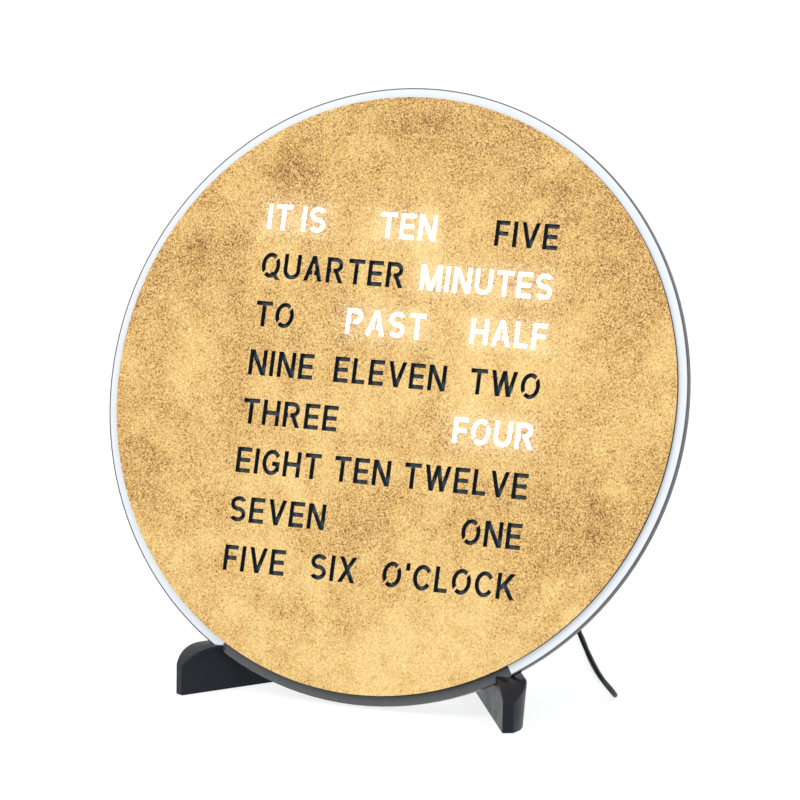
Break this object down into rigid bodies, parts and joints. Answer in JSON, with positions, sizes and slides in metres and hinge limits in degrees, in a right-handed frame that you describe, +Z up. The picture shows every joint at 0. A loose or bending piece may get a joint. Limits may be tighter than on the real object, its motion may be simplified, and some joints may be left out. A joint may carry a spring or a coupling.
{
  "type": "word clock",
  "caption": "Round table word clock with a rust-coloured stencil face, lit words, a pale rim, two black feet and a power lead.",
  "frame": {"origin": "on the table under the middle of the clock", "axes": "+Z up, the face looks towards -Y and leans back 16 degrees, +X to the right when looking at the face"},
  "size_m": [0.3, 0.2277, 0.2902],
  "materials": {
    "rust_steel": "rust and sand blotches, matte",
    "rim_white": "satin",
    "mask_black": "matte",
    "smoked_acrylic": "smoked, clear",
    "steel": "plain",
    "diffuser": "frosted",
    "baffle_white": "matte",
    "lamp": "clear",
    "board_green": "solder mask",
    "electronics_black": "matte",
    "housing_black": "fine texture",
    "button_grey": "satin",
    "foot_black": "matte",
    "rubber_black": "matte",
    "cord_black": "satin"
  },
  "bodies": {
    "clock": {"back_cover": "housing_black", "barrel_plug": "rubber_black", "board_header": "electronics_black", "board_screws": "steel", "board_standoffs": "steel", "button_board": "board_green", "button_board_posts": "housing_black", "capacitors": "electronics_black", "clock_chip": "electronics_black", "coin_cell": "steel", "coin_cell_holder": "electronics_black", "control_board": "board_green", "cord_coil": "cord_black", "cord_tail": "cord_black", "cover_screws": "steel", "diffuser_sheet": "diffuser", "face_plate": "rust_steel", "face_studs": "steel", "inlet_board": "board_green", "inlet_board_posts": "housing_black", "inlet_lead": "cord_black", "led_board": "board_green", "leds": "lamp", "light_baffle": "baffle_white", "light_mask": "mask_black", "main_chip": "electronics_black", "plug_barrel": "steel", "plug_relief": "rubber_black", "power_cord": "cord_black", "power_inlet": "electronics_black", "rear_housing": "housing_black", "rim_ring": "rim_white", "smoked_disc": "smoked_acrylic", "stud_nuts": "steel", "switch_bodies": "electronics_black", "usb_body": "rubber_black", "usb_relief": "rubber_black", "usb_shell": "steel", "usb_tongue": "electronics_black"},
    "foot_left": {"foot_left": "foot_black", "foot_pads_left": "rubber_black"},
    "foot_right": {"foot_right": "foot_black", "foot_pads_right": "rubber_black"},
    "button_hour": {"button_hour": "button_grey", "plunger_hour": "button_grey"},
    "button_minute": {"button_minute": "button_grey", "plunger_minute": "button_grey"},
    "button_light": {"button_light": "button_grey", "plunger_light": "button_grey"}
  },
  "joints": [
    {"name": "press_hour", "type": "slide", "parent": "clock", "child": "button_hour", "axis": [0, -0.9613, 0.2756], "range_m": [0, 0.0005], "stiffness_N_per_m": 400, "springref_m": -0.001},
    {"name": "press_minute", "type": "slide", "parent": "clock", "child": "button_minute", "axis": [0, -0.9613, 0.2756], "range_m": [0, 0.0005], "stiffness_N_per_m": 400, "springref_m": -0.001},
    {"name": "press_light", "type": "slide", "parent": "clock", "child": "button_light", "axis": [0, -0.9613, 0.2756], "range_m": [0, 0.0005], "stiffness_N_per_m": 400, "springref_m": -0.001},
    {"name": "foot_left_off", "type": "slide", "parent": "clock", "child": "foot_left", "axis": [0, -0.2756, -0.9613], "range_m": [0, 0.03]},
    {"name": "foot_right_off", "type": "slide", "parent": "clock", "child": "foot_right", "axis": [0, -0.2756, -0.9613], "range_m": [0, 0.03]}
  ]
}
